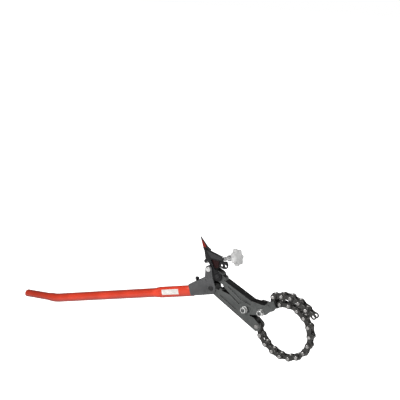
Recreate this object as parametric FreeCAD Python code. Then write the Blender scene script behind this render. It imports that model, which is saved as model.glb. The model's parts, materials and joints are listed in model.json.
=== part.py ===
import FreeCAD, Part
import math
import os

# Chain-type soil pipe cutter, in millimetres.
# The tool lies in the XZ plane: the handle runs towards -X, the chain loop is at +X and Z is up.
# The origin is the axis of the main jaw pivot, and every pivot axis is parallel to Y.

# Pivots in the XZ plane
MAIN_PIVOT = (0.0, 0.0)
FRONT_BOLT = (50.0, 2.0)
LEVER_PIVOT = (-86.0, 74.0)
HANDLE_PIVOT = (-112.0, 90.0)
JAW_PIVOT = (-104.0, 38.0)
CHAIN_ANCHOR = (37.0, -39.5)

# Chain
PITCH = 25.4
FIRST_HEADING = -68.5
LOWER_BEND = 16.0
LOWER_PINS = 3
LOOP_BEND = 20.2
LOOP_PINS = 11
TAIL_BENDS = (-118.5, -69.0, -13.0, -21.0, -13.0, 0.0)
PLATE_R = 8.0
WAIST = 11.5
INNER_PLATE = (5.3, 7.8)
OUTER_PLATE = (8.1, 10.9)
RIVET_R = 4.0
RIVET_END_R = 5.0
RIVET_HALF = 14.5
RUNNING_GAP = 0.06
WHEEL_R = 10.0
WHEEL_HUB_R = 6.6
WHEEL_HALF = 5.0

# Jaws
JAW_HALF = 12.3
TONGUE_HALF = 5.5
PRONG_HALF = 8.0
PIVOT_DISC_R = 20.0
DISC_GAP = 0.5
SIDE_GAP = 0.3
HOOK_IN = 11.3
HOOK_OUT = 17.0
HOOK_GROOVE = 15.0
HOOK_SLOT_TILT = 19.5
HOOK_SLOT_HALF = 5.7

# Lever and handle
LEVER_IN = 8.3
LEVER_OUT = 12.3
FAR_CHEEK_DROP = 8.5
HOOD_EDGE = -2.0
EAR_IN = 12.6
EAR_OUT = 15.5
SOCKET_HALF = 18.0
TUBE_R = 12.7
TUBE_WALL = 3.2
OVAL_TALL = 15.5
OVAL_WIDE = 9.4
TUBE_SLOPE = 14.0
TUBE_BEND = 10.0
BEND_X = -665.0
BEND_RADIUS = 140.0
END_LENGTH = 105.0
END_TALL = 10.7
END_CHANGE = 25.0
OVAL_START = -302.0
OVAL_FULL = -276.0
SOCKET_DEPTH_X = -133.0
OPEN_PIVOT_GAP = 0.7

# Fasteners
BOLT_R = 5.0
HEX_FLATS = 15.0
HEAD_H = 6.5
NUT_H = 8.0
WASHER_R = 9.2
WASHER_T = 2.0
BORE_GAP = 0.06
FRONT_BOSS_R = 9.6

# Adjusting screw
SCREW_SLOPE = 15.9
SCREW_R = 5.5
SCREW_START = (-132.0, 105.0)
KNOB_AT = 96.0
KNOB_R = 22.0
KNOB_LOBES = 7
KNOB_T = 12.0
COLLAR_R = 8.0

Y_AXIS = FreeCAD.Vector(0, 1, 0)
TURN = FreeCAD.Vector(0, -1, 0)
HERE = FreeCAD.Vector(0, 0, 0)


def vec(x, y, z):
    return FreeCAD.Vector(x, y, z)


def rod(at, radius, y0, y1):
    """A cylinder along Y."""
    return Part.makeCylinder(radius, y1 - y0, vec(at[0], y0, at[1]), Y_AXIS)


def corner(previous, here, following, radius):
    """The two tangent points and the middle of the arc that rounds one corner."""
    p = vec(previous[0], 0, previous[1])
    c = vec(here[0], 0, here[1])
    n = vec(following[0], 0, following[1])
    back = (p - c).normalize()
    ahead = (n - c).normalize()
    half = back.getAngle(ahead) / 2
    reach = radius / math.tan(half)
    middle = (back + ahead).normalize() * (radius / math.sin(half))
    return c + back * reach, c + middle - middle.normalize() * radius, c + ahead * reach


def slab(corners, y0, y1):
    """A plate in the XZ plane with rounded corners, each given as (x, z, radius)."""
    arcs = []
    count = len(corners)
    for i in range(count):
        here = corners[i]
        if here[2] > 0:
            arcs.append(corner(corners[i - 1], here, corners[(i + 1) % count], here[2]))
        else:
            point = vec(here[0], 0, here[1])
            arcs.append((point, point, point))
    edges = []
    for i in range(count):
        start, middle, end = arcs[i]
        if (end - start).Length > 1e-6:
            edges.append(Part.Arc(start, middle, end).toShape())
        begin = arcs[(i + 1) % count][0]
        if (begin - end).Length > 1e-6:
            edges.append(Part.makeLine(end, begin))
    face = Part.Face(Part.Wire(edges))
    face.translate(vec(0, y0, 0))
    return face.extrude(vec(0, y1 - y0, 0))


def both_sides(make, inner, outer):
    """The same shape on the near side and on the far side."""
    return make(-outer, -inner), make(inner, outer)


def fuse(shapes):
    shapes = list(shapes)
    return shapes[0].multiFuse(shapes[1:]).removeSplitter()


def cut(shape, tools):
    return shape.cut(Part.makeCompound(list(tools)))


def turned(shape, at, heading):
    """A shape drawn along +X, turned to a heading in the XZ plane and moved to a point."""
    shape.rotate(HERE, TURN, heading)
    shape.translate(vec(at[0], 0, at[1]))
    return shape


def hexagon(at, y0, y1):
    radius = HEX_FLATS / math.sqrt(3)
    corners = []
    for i in range(6):
        angle = math.radians(60 * i + 12)
        corners.append((at[0] + radius * math.cos(angle), at[1] + radius * math.sin(angle), 0))
    prism = slab(corners, y0, y1)
    low = Part.makeCone(radius * 0.93, radius * 1.6, y1 - y0, vec(at[0], y0, at[1]), Y_AXIS)
    high = Part.makeCone(radius * 1.6, radius * 0.93, y1 - y0, vec(at[0], y0, at[1]), Y_AXIS)
    return prism.common(low).common(high)


def save(name, shape):
    os.makedirs("parts", exist_ok=True)
    shape.exportStep("parts/" + name + ".step")


# ---------------------------------------------------------------- chain


def chain_headings():
    headings = [FIRST_HEADING]
    for bend in [LOWER_BEND] * LOWER_PINS + [LOOP_BEND] * LOOP_PINS + list(TAIL_BENDS):
        headings.append(headings[-1] + bend)
    return headings


def chain_pins(headings):
    pins = [CHAIN_ANCHOR]
    for heading in headings:
        x, z = pins[-1]
        angle = math.radians(heading)
        pins.append((x + PITCH * math.cos(angle), z + PITCH * math.sin(angle)))
    return pins


def plate(y0, y1, hole_r):
    """One side plate with round ends and a waist, drawn from the origin along +X."""
    ends = [rod((0, 0), PLATE_R, y0, y1), rod((PITCH, 0), PLATE_R, y0, y1)]
    bar = Part.makeBox(PITCH, y1 - y0, WAIST, vec(0, y0, -WAIST / 2))
    holes = [rod((0, 0), hole_r, y0 - 1, y1 + 1), rod((PITCH, 0), hole_r, y0 - 1, y1 + 1)]
    return cut(fuse(ends + [bar]), holes)


def inner_link():
    def make(y0, y1):
        return plate(y0, y1, RIVET_R + RUNNING_GAP)

    return Part.makeCompound(list(both_sides(make, *INNER_PLATE)))


def rivet():
    """A rivet that fits both outer plates, with a thicker domed end outside each."""
    profile = [
        (0, -RIVET_HALF),
        (RIVET_END_R - 1.2, -RIVET_HALF),
        (RIVET_END_R, -RIVET_HALF + 0.9),
        (RIVET_END_R, -OUTER_PLATE[1]),
        (RIVET_R, -OUTER_PLATE[1]),
    ]
    profile += [(r, -y) for r, y in reversed(profile)]
    return revolved(profile)


def revolved(profile):
    """A closed (radius, y) outline turned about the Y axis."""
    points = [vec(r, y, 0) for r, y in profile]
    face = Part.Face(Part.makePolygon(points + [points[0]]))
    return face.revolve(HERE, Y_AXIS, 360)


def outer_link():
    def make(y0, y1):
        return plate(y0, y1, RIVET_R)

    plates = list(both_sides(make, *OUTER_PLATE))
    far_rivet = rivet()
    far_rivet.translate(vec(PITCH, 0, 0))
    return Part.makeCompound(plates + [rivet(), far_rivet])


def cutter_wheel(bore_r, hub_r, rim_r):
    profile = [
        (bore_r, -WHEEL_HALF),
        (hub_r, -WHEEL_HALF),
        (hub_r + 0.3, -2.3),
        (rim_r, -0.3),
        (rim_r, 0.3),
        (hub_r + 0.3, 2.3),
        (hub_r, WHEEL_HALF),
        (bore_r, WHEEL_HALF),
    ]
    return revolved(profile)


def build_chain():
    headings = chain_headings()
    pins = chain_pins(headings)
    for i, heading in enumerate(headings):
        if i % 2 == 0:
            save("chain_link_%02d_inner" % (i + 1), turned(inner_link(), pins[i], heading))
        else:
            save("chain_link_%02d_outer" % (i + 1), turned(outer_link(), pins[i], heading))
    for i in range(1, len(headings)):
        wheel = cutter_wheel(RIVET_R + RUNNING_GAP, WHEEL_HUB_R, WHEEL_R)
        save("cutter_wheel_%02d" % i, turned(wheel, pins[i], headings[i]))
    return headings, pins


# ---------------------------------------------------------------- jaws


def hook_claw(pin, y0, y1):
    """The side plate that carries the hook, before its slot is cut."""
    x, z = pin
    neck = slab(
        [
            (38, 27, 0),
            (62, 25, 4),
            (x - 8, z + 6, 4),
            (x + 2, z - 12, 3),
            (65.5, -1, 1.5),
            (61, 3, 1),
            (59.5, 12, 4),
            (50, 14.5, 3),
            (38, 14.5, 0),
        ],
        y0,
        y1,
    )
    claw = rod(pin, 13.0, y0, y1)
    horn = turned(Part.makeBox(11, y1 - y0, 13, vec(-11, y0, 0)), (0, 0), 0)
    horn.translate(vec(13, 0, 0))
    horn = turned(horn, pin, HOOK_SLOT_TILT)
    return fuse([neck, claw, horn])


def hook_slot(pin):
    """The groove that the rivet end drops into: blind on the outside, open at the top."""
    half = HOOK_SLOT_HALF
    corners = [(-half, 40, 0), (half, 40, 0), (half, -half, half - 0.1), (-half, -half, half - 0.1)]
    return [turned(slab(corners, -HOOK_GROOVE, HOOK_GROOVE), pin, HOOK_SLOT_TILT)]


def hook_jaw(pin):
    body = slab(
        [
            (-65, 67, 3),
            (20, 26.5, 12),
            (62, 25, 4),
            (60, 10, 4),
            (50, 8, 0),
            (42, -6, 6),
            (12, -12, 0),
            (-19, 14.5, 3),
            (-47, 35, 3),
            (-67, 51.5, 5),
            (-70, 59, 4),
        ],
        -JAW_HALF,
        JAW_HALF,
    )
    front = rod(FRONT_BOLT, FRONT_BOSS_R, -JAW_HALF, JAW_HALF)
    prong = fuse(
        [
            rod(LEVER_PIVOT, 14.0, -PRONG_HALF, PRONG_HALF),
            slab(
                [(-92, 86.6, 0), (-64, 74, 3), (-60, 60, 0), (-67, 51, 2), (-96, 64, 0)],
                -PRONG_HALF,
                PRONG_HALF,
            ),
        ]
    )
    tongue = rod(MAIN_PIVOT, PIVOT_DISC_R, -TONGUE_HALF, TONGUE_HALF)
    seats = both_sides(lambda y0, y1: rod(MAIN_PIVOT, PIVOT_DISC_R + DISC_GAP, y0, y1), TONGUE_HALF, 20)
    plain = cut(fuse([body, front]), seats)
    claws = both_sides(lambda y0, y1: hook_claw(pin, y0, y1), HOOK_IN, HOOK_OUT)
    bosses = both_sides(lambda y0, y1: rod((70, 20), 9.0, y0, y1), HOOK_OUT - 1, HOOK_OUT + 1.5)
    jaw = fuse([plain, tongue, prong] + list(claws) + list(bosses))
    wheel_room = rod(FRONT_BOLT, 12.2, -TONGUE_HALF, TONGUE_HALF)
    wheel_mouth = Part.makeBox(30, 2 * TONGUE_HALF, 12.2, vec(FRONT_BOLT[0], -TONGUE_HALF, FRONT_BOLT[1] - 12.2))
    bores = [rod(p, BOLT_R + BORE_GAP, -30, 30) for p in (MAIN_PIVOT, FRONT_BOLT, LEVER_PIVOT)]
    jaw = cut(jaw, bores + [wheel_room, wheel_mouth] + hook_slot(pin))
    return cut(jaw, jaw_pockets(UPPER_POCKET))


UPPER_POCKET = [(-56, 57.5, 1.5), (17, 22, 2), (22, 14, 2), (-12, 24, 4), (-50, 50.5, 1.5)]
LOWER_POCKET = [(-83, 26.5, 1.5), (-42, 19.5, 3), (-25, 7, 3), (-21.5, -9.5, 3), (-46, 4.5, 3)]


def jaw_pockets(corners):
    """The same shallow pocket sunk into both faces."""
    return list(both_sides(lambda y0, y1: slab(corners, y0, y1), JAW_HALF - 2.2, JAW_HALF + 5))


def recess_beside_pivot():
    """A round hollow in each outer face, just in front of the pivot bolt."""
    return list(both_sides(lambda y0, y1: rod((11.5, 2.5), 8.0, y0, y1), JAW_HALF - 3.0, JAW_HALF + 5))


def anchor_jaw():
    body = slab(
        [
            (-104, 26, 0),
            (-93, 19, 4),
            (34, -53.5, 3),
            (46.5, -48, 7),
            (45.5, -33, 6),
            (27, -17, 3),
            (14, -14, 0),
            (-14, 8, 0),
            (-45, 31, 5),
            (-66, 36, 8),
            (-86, 37.5, 4),
            (-104, 50, 0),
        ],
        -JAW_HALF,
        JAW_HALF,
    )
    lobe = rod(JAW_PIVOT, 12.0, -JAW_HALF, JAW_HALF)
    stop = rod((-75, 38.5), 4.5, -JAW_HALF, JAW_HALF)
    discs = both_sides(lambda y0, y1: rod(MAIN_PIVOT, PIVOT_DISC_R, y0, y1), TONGUE_HALF + SIDE_GAP, JAW_HALF)
    ears = rod(CHAIN_ANCHOR, 10.5, -JAW_HALF, JAW_HALF)
    seat = rod(MAIN_PIVOT, PIVOT_DISC_R + DISC_GAP, -(TONGUE_HALF + SIDE_GAP), TONGUE_HALF + SIDE_GAP)
    link_room = rod(CHAIN_ANCHOR, 16.0, -INNER_PLATE[1] - SIDE_GAP, INNER_PLATE[1] + SIDE_GAP)
    bores = [
        rod(MAIN_PIVOT, BOLT_R + BORE_GAP, -30, 30),
        rod(JAW_PIVOT, BOLT_R + BORE_GAP, -30, 30),
        rod(CHAIN_ANCHOR, RIVET_R + RUNNING_GAP, -30, 30),
    ]
    jaw = cut(fuse([body, lobe, stop, ears]), [seat])
    jaw = fuse([jaw] + list(discs))
    return cut(jaw, bores + [link_room] + jaw_pockets(LOWER_POCKET) + lower_grooves() + recess_beside_pivot())


def lower_grooves():
    """A shallow groove that runs along the lower flange on each face."""
    corners = [(-86, 19.8, 0), (20, -41, 0), (19, -42.8, 0), (-87, 17.9, 0)]
    return list(both_sides(lambda y0, y1: slab(corners, y0, y1), JAW_HALF - 1.2, JAW_HALF + 5))


def anchor_pin():
    shaft = rod(CHAIN_ANCHOR, RIVET_R, -JAW_HALF - 2.6, JAW_HALF + 2.6)
    heads = both_sides(lambda y0, y1: rod(CHAIN_ANCHOR, 6.5, y0, y1), JAW_HALF, JAW_HALF + 2.2)
    return fuse([shaft] + list(heads))


def headed_pin(at, grip_half, head_r, head_t):
    """A plain pin with a head formed over each end."""
    profile = [
        (0, -grip_half - head_t),
        (head_r - 1.5, -grip_half - head_t),
        (head_r, -grip_half - head_t + 1.2),
        (head_r, -grip_half),
        (BOLT_R, -grip_half),
    ]
    profile += [(r, -y) for r, y in reversed(profile)]
    return turned(revolved(profile), at, 0)


# ---------------------------------------------------------------- fasteners


def jaw_bolt(at):
    """Hexagon head on the far side, thread end on the near side."""
    reach = JAW_HALF + WASHER_T
    shank = rod(at, BOLT_R, -reach - NUT_H - 2.0, reach + 1)
    return fuse([shank, hexagon(at, reach, reach + HEAD_H)])


def jaw_nut(at):
    reach = JAW_HALF + WASHER_T
    return hexagon(at, -reach - NUT_H, -reach).cut(rod(at, BOLT_R, -60, 60))


def jaw_washers(at):
    hole = rod(at, BOLT_R + BORE_GAP, -60, 60)
    rings = both_sides(lambda y0, y1: rod(at, WASHER_R, y0, y1), JAW_HALF, JAW_HALF + WASHER_T)
    return [ring.cut(hole) for ring in rings]


# ---------------------------------------------------------------- handle


def tube_line(x):
    """Height of the handle's centre line."""
    return -109.0 + (x - BEND_X) * math.tan(math.radians(TUBE_SLOPE))


def direction(slope):
    """The unit vector that climbs at a slope in degrees."""
    angle = math.radians(slope)
    return vec(math.cos(angle), 0, math.sin(angle))


def tube_point(x):
    return vec(x, 0, tube_line(x))


def tube_path():
    """Centre line of the round part, from the grip bend to where the oval starts."""
    bend = tube_point(BEND_X)
    ahead = direction(TUBE_SLOPE)
    back = direction(TUBE_SLOPE - TUBE_BEND) * -1
    reach = BEND_RADIUS * math.tan(math.radians(TUBE_BEND) / 2)
    one = bend + back * reach
    two = bend + ahead * reach
    middle = (ahead + back).normalize() * BEND_RADIUS * (1 / math.cos(math.radians(TUBE_BEND) / 2) - 1)
    arc = Part.Arc(one, bend + middle, two).toShape()
    return Part.Wire([arc, Part.makeLine(two, tube_point(OVAL_START))]), one, back


def oval_wire(centre, slope, tall, wide):
    """An ellipse across the tube, standing square to a slope in degrees."""
    ahead = direction(slope)
    tips = [centre + direction(slope + 90) * tall, centre + Y_AXIS * wide]
    if tall < wide:
        tips.reverse()
    curve = Part.Ellipse(tips[0], tips[1], centre)
    if curve.Axis.dot(ahead) < 0:
        curve.reverse()
    return Part.Wire([curve.toShape()])


def round_wire(centre, slope, radius, seam):
    """A circle across the tube that starts on the side the seam vector points to."""
    curve = Part.Circle(centre, direction(slope), radius)
    curve.XAxis = seam
    return Part.Wire([curve.toShape()])


def tube_solid(shrink):
    """The handle's outside, or its inside when shrink is the wall thickness."""
    path, bend_start, back = tube_path()
    end_slope = TUBE_SLOPE - TUBE_BEND
    radius = TUBE_R - shrink
    round_part = path.makePipeShell([round_wire(bend_start, end_slope, radius, Y_AXIS)], True, False)

    flat_end = oval_wire(bend_start + back * END_CHANGE, end_slope, END_TALL - shrink, radius)
    grip_change = Part.makeLoft([round_wire(bend_start, end_slope, radius, Y_AXIS), flat_end], True, True)
    grip = Part.Face(flat_end).extrude(back * (END_LENGTH - END_CHANGE))

    oval_begin = round_wire(tube_point(OVAL_START), TUBE_SLOPE, radius, direction(TUBE_SLOPE + 90))
    oval_full = oval_wire(tube_point(OVAL_FULL), TUBE_SLOPE, OVAL_TALL - shrink, OVAL_WIDE - shrink)
    change = Part.makeLoft([oval_begin, oval_full], True, True)
    run = (SOCKET_DEPTH_X - OVAL_FULL) / math.cos(math.radians(TUBE_SLOPE))
    oval = Part.Face(oval_full).extrude(direction(TUBE_SLOPE) * run)
    return round_part, grip_change, grip, change, oval


def handle_tube():
    outside = fuse(tube_solid(0))
    inside = tube_solid(TUBE_WALL)
    return cut(outside, inside)


def handle_casting():
    socket = slab(
        [
            (-178, 34.5, 3),
            (-139, 57.5, 12),
            (-124, 67, 6),
            (-114, 66, 3),
            (-106, 44, 4),
            (-112, 27, 3),
            (-114, 18, 2),
            (-170, 3, 3),
        ],
        -SOCKET_HALF,
        SOCKET_HALF,
    )
    socket = rounded_long_edges(socket, 5.0)
    ears = both_sides(ear, EAR_IN, EAR_OUT)
    fork_room = Part.makeBox(90, 2 * EAR_IN, 160, vec(-137.5, -EAR_IN, -20))
    bore = Part.Face(oval_wire(tube_point(-200), TUBE_SLOPE, OVAL_TALL + 0.05, OVAL_WIDE + 0.05))
    bore = bore.extrude(direction(TUBE_SLOPE) * ((SOCKET_DEPTH_X + 200) / math.cos(math.radians(TUBE_SLOPE))))
    holes = [
        rod(HANDLE_PIVOT, BOLT_R + OPEN_PIVOT_GAP, -30, 30),
        rod(JAW_PIVOT, BOLT_R + BORE_GAP, -30, 30),
        Part.makeCylinder(3.45, 30, vec(-158, 0, 30), vec(0, 0, 1)),
        bore,
    ]
    seat = Part.makeCylinder(7.0, 12, vec(-158, 0, 49), vec(0, 0, 1))
    body = cut(cut(socket, [fork_room]), [seat])
    spotfaces = both_sides(lambda y0, y1: rod(JAW_PIVOT, 8.0, y0, y1), EAR_OUT, SOCKET_HALF + 5)
    return cut(fuse([body] + list(ears)), holes + list(spotfaces))


def rounded_long_edges(shape, radius):
    """Rounds the top and bottom edges of the socket where they meet its side faces."""
    edges = []
    for edge in shape.Edges:
        box = edge.BoundBox
        flat = box.YLength < 1e-6 and abs(abs(box.YMin) - SOCKET_HALF) < 1e-6
        if flat and box.XLength > 20:
            edges.append(edge)
    return shape.makeFillet(radius, edges)


def ear(y0, y1):
    """One side of the fork that holds the lower jaw and the lever."""
    blade = slab(
        [
            (-138, 57, 0),
            (-124, 66, 4),
            (-121.5, 90, 0),
            (-102.5, 90, 0),
            (-100, 68, 10),
            (-92, 46, 6),
            (-91, 36, 4),
            (-95, 23.5, 3),
            (-138, 12.5, 0),
        ],
        y0,
        y1,
    )
    return fuse([blade, rod(HANDLE_PIVOT, 9.8, y0, y1), rod(JAW_PIVOT, 13.0, y0, y1)])


def handle_lock_screw():
    shank = Part.makeCylinder(3.4, 16, vec(-158, 0, 36), vec(0, 0, 1))
    head = Part.makeCylinder(5.2, 7, vec(-158, 0, 49), vec(0, 0, 1))
    dome = head.makeFillet(2.0, [head.Edges[0] if head.Edges[0].BoundBox.ZMin > 55 else head.Edges[2]])
    socket = Part.makeCylinder(2.2, 3, vec(-158, 0, 54), vec(0, 0, 1))
    return fuse([shank, dome]).cut(socket)


# ---------------------------------------------------------------- lever


def lever_cheek(y0, y1, top):
    """One side plate of the lever; top moves its upper edge up or down."""
    strip = slab(
        [
            (-127.5, 140.5 + top, 2),
            (-119, 140.3 + top, 2),
            (-72, 128.3 + top, 3),
            (-67.5, 117, 1),
            (-108, 119, 3),
            (-96, 94, 8),
            (-78, 82, 6),
            (-78, 66, 3),
            (-94, 66, 3),
            (-104, 84, 3),
            (-118, 96, 0),
            (-109, 101, 2),
            (-114, 108, 6),
            (-123.5, 116, 4),
        ],
        y0,
        y1,
    )
    return fuse([strip, rod(LEVER_PIVOT, 13.0, y0, y1), rod(HANDLE_PIVOT, 9.8, y0, y1)])


def upper_lever():
    near = lever_cheek(-LEVER_OUT, -LEVER_IN, 0)
    far = lever_cheek(LEVER_IN, LEVER_OUT, -FAR_CHEEK_DROP)
    half = LEVER_IN + 0.5
    hood = slab(
        [(-127, 140, 2), (-119, 139.8, 2), (-77, 129, 0.5), (-77, 125.4, 0.5), (-118, 134, 2), (-126, 134, 0)],
        -half,
        HOOD_EDGE,
    )
    back_web = slab([(-126.5, 132, 2), (-117.5, 132, 2), (-116.5, 111, 1), (-122, 116, 2)], -half, half)
    neck = slab(
        [(-136.5, 145, 0.5), (-125.5, 145, 0.5), (-116.5, 139.5, 1), (-117, 128, 1), (-126, 128, 1), (-133.5, 138, 2)],
        -5,
        5,
    )
    lever = fuse([near, far, hood, back_web, neck])
    bores = [rod(p, BOLT_R + BORE_GAP, -30, 30) for p in (LEVER_PIVOT, HANDLE_PIVOT)]
    tip_socket = slab([(-133.8, 146, 0), (-128, 146, 0), (-124.3, 134.6, 0), (-130.1, 134.6, 0)], -3, 3)
    return cut(lever, bores + [screw_rod(SCREW_R + 0.5, -10, 90), tip_socket])


def lever_tip():
    """The pointed end piece that plugs into the lever's neck."""
    plug = slab([(-133.55, 145.2, 0), (-128.2, 145.2, 0), (-124.9, 135, 0), (-130.0, 135, 0)], -2.9, 2.9)
    steps = [(145.1, -136.5, -125.5, 4.5), (172.0, -147.3, -145.9, 0.7)]
    outlines = []
    for z, left, right, half in steps:
        corners = [(left, -half), (right, -half), (right, half), (left, half), (left, -half)]
        outlines.append(Part.makePolygon([vec(x, y, z) for x, y in corners]))
    return fuse([plug, Part.makeLoft(outlines, True, True)])


# ---------------------------------------------------------------- adjusting screw


def screw_point(t):
    """A point on the screw axis, t millimetres from its left end."""
    angle = math.radians(SCREW_SLOPE)
    return vec(SCREW_START[0] + t * math.cos(angle), 0, SCREW_START[1] + t * math.sin(angle))


def screw_axis():
    return (screw_point(1) - screw_point(0)).normalize()


def screw_rod(radius, t0, t1):
    return Part.makeCylinder(radius, t1 - t0, screw_point(t0), screw_axis())


def adjusting_screw():
    shaft = screw_rod(SCREW_R, 8, KNOB_AT + KNOB_T - 2)
    spigot = screw_rod(3.0, 3, 8.5)
    collar = screw_rod(COLLAR_R, 76, KNOB_AT - 3)
    return fuse([shaft, spigot, collar])


def screw_end_cap():
    cap = screw_rod(5.4, -1, 7.7)
    return cap.cut(screw_rod(3.0 + BORE_GAP, 2.5, 9))


def screw_block():
    """The nut that the screw turns in, held between the lever's cheeks."""
    block = slab(
        [(-109, 123, 3), (-86, 126, 3), (-84.5, 112, 3), (-87, 96, 4), (-103, 92.5, 4), (-109, 104, 3)],
        -PRONG_HALF,
        PRONG_HALF,
    )
    room = rod(LEVER_PIVOT, 15.5, -20, 20)
    return cut(block, [room, screw_rod(SCREW_R + BORE_GAP, -20, 90)])


def screw_bracket():
    """A small curved guard plate with two holes under the screw."""
    plate_y0 = -5.0
    plate_y1 = -1.0
    shape = slab(
        [(-84, 112, 2), (-68, 116.5, 3), (-61, 117, 3), (-57.5, 108, 6), (-60, 97, 6), (-72, 95, 5), (-83, 99, 4)],
        plate_y0,
        plate_y1,
    )
    holes = [rod((-77.5, 104), 3.4, -10, 10), rod((-65, 104), 3.4, -10, 10)]
    return cut(shape, holes)


def star_knob():
    """A lobed hand knob on the end of the screw."""
    body = screw_rod(KNOB_R - 5.5, KNOB_AT, KNOB_AT + KNOB_T)
    centre = screw_point(KNOB_AT)
    axis = screw_axis()
    across = vec(-axis.z, 0, axis.x)
    pieces = [body, screw_rod(9.5, KNOB_AT - 3, KNOB_AT + 1)]
    for i in range(KNOB_LOBES):
        angle = 2 * math.pi * i / KNOB_LOBES
        out = across * math.cos(angle) + Y_AXIS * math.sin(angle)
        start = centre + out * (KNOB_R - 5.0) + axis * 1.0
        pieces.append(Part.makeCylinder(5.0, KNOB_T - 2, start, axis))
    knob = fuse(pieces)
    dish = screw_rod(10.5, KNOB_AT + KNOB_T - 2, KNOB_AT + KNOB_T + 1)
    bore = Part.makeCompound([screw_rod(SCREW_R, KNOB_AT - 4, KNOB_AT + KNOB_T), screw_rod(COLLAR_R, 70, KNOB_AT - 3)])
    return knob.cut(dish).cut(bore)


# ---------------------------------------------------------------- everything


def main():
    headings, pins = build_chain()
    hook_pin = pins[LOWER_PINS + LOOP_PINS + 1]
    bolts = [MAIN_PIVOT, FRONT_BOLT]
    washers = []
    for at in bolts:
        washers += jaw_washers(at)
    save("hook_jaw", hook_jaw(hook_pin))
    save("anchor_jaw", anchor_jaw())
    save("jaw_bolts", Part.makeCompound([jaw_bolt(at) for at in bolts]))
    save("jaw_nuts", Part.makeCompound([jaw_nut(at) for at in bolts]))
    save("jaw_washers", Part.makeCompound(washers))
    save("jaw_cutter_wheel", turned(cutter_wheel(BOLT_R + BORE_GAP, 7.6, 11.0), FRONT_BOLT, 0))
    save("chain_anchor_pin", anchor_pin())
    save("handle_link_pin", headed_pin(JAW_PIVOT, EAR_OUT, 7.0, 1.8))
    save("handle_casting", handle_casting())
    save("handle_tube", handle_tube())
    save("handle_lock_screw", handle_lock_screw())
    save("upper_lever", upper_lever())
    save("lever_red_tip", lever_tip())
    pins = [headed_pin(HANDLE_PIVOT, EAR_OUT, 7.0, 3.0), headed_pin(LEVER_PIVOT, LEVER_OUT, 7.0, 2.4)]
    save("lever_pivot_pins", Part.makeCompound(pins))
    save("adjusting_screw", adjusting_screw())
    save("screw_end_cap", screw_end_cap())
    save("screw_block", screw_block())
    save("screw_bracket", screw_bracket())
    save("star_knob", star_knob())


main()
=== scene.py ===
import bpy
import bmesh
import json
import math
import random
from mathutils import Matrix, Vector

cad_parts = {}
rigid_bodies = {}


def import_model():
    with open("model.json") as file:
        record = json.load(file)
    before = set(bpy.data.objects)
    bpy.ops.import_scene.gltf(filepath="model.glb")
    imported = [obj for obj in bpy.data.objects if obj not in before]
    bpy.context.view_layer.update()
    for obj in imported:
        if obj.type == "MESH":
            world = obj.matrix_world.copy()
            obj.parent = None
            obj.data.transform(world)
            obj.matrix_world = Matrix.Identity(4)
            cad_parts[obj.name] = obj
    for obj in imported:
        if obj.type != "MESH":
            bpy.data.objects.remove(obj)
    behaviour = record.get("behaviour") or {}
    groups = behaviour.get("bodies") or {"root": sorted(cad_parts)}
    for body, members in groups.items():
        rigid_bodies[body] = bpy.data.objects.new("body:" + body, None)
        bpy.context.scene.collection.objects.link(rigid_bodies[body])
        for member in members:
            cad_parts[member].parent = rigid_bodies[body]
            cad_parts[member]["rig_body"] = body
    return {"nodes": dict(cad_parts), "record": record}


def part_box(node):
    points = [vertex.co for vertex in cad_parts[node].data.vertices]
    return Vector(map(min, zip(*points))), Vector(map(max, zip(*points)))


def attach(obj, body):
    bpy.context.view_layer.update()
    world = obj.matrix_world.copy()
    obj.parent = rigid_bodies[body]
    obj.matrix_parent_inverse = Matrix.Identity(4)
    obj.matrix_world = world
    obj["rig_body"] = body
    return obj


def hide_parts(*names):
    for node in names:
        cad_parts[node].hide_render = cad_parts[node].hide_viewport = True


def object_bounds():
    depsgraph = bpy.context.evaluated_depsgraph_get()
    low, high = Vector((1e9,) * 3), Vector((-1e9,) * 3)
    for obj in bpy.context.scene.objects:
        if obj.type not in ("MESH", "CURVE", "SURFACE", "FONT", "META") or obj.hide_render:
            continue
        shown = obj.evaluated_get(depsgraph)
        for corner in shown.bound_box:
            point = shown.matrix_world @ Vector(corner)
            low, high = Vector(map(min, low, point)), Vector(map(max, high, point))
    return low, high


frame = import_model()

CAD_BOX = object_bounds()
random.seed(7)
MM = 0.001
Y = Vector((0, 1, 0))

# ---------------------------------------------------------------- where things are

RECORD = frame["record"]
JOINTS = {j["name"]: j for j in RECORD["behaviour"]["joints"]}
MOUNTS = {m["name"]: m for m in RECORD["mounts"]}


def joint_point(name):
    return Vector(JOINTS[name]["pos_m"])


def body_of(node):
    return frame["nodes"][node]["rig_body"]


LINKS = 21
PINS = [joint_point("chain_open")]
PINS += [joint_point("wheel_roll_%02d" % i) for i in range(1, LINKS)]
PINS.append(Vector(MOUNTS["chain_end_hole"]["pos_m"]))
PITCH = (PINS[1] - PINS[0]).length
MAIN_PIVOT = joint_point("jaw_close")
FRONT_BOLT = joint_point("wheel_roll_jaw")
LEVER_PIVOT = joint_point("lever_squeeze")
JAW_PIVOT = joint_point("handle_link")
SCREW_AXIS = Vector(JOINTS["knob_turn"]["axis"]).normalized()
SCREW_START = Vector((-132, 0, 105)) * MM

# ---------------------------------------------------------------- mesh helpers


def new_object(name, mesh):
    obj = bpy.data.objects.new(name, mesh)
    bpy.context.scene.collection.objects.link(obj)
    return obj


def finish_mesh(name, bm, smooth_angle=35):
    bmesh.ops.recalc_face_normals(bm, faces=bm.faces)
    mesh = bpy.data.meshes.new(name)
    bm.to_mesh(mesh)
    bm.free()
    mesh.shade_smooth()
    mesh.set_sharp_from_angle(angle=math.radians(smooth_angle))
    return mesh


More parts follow.
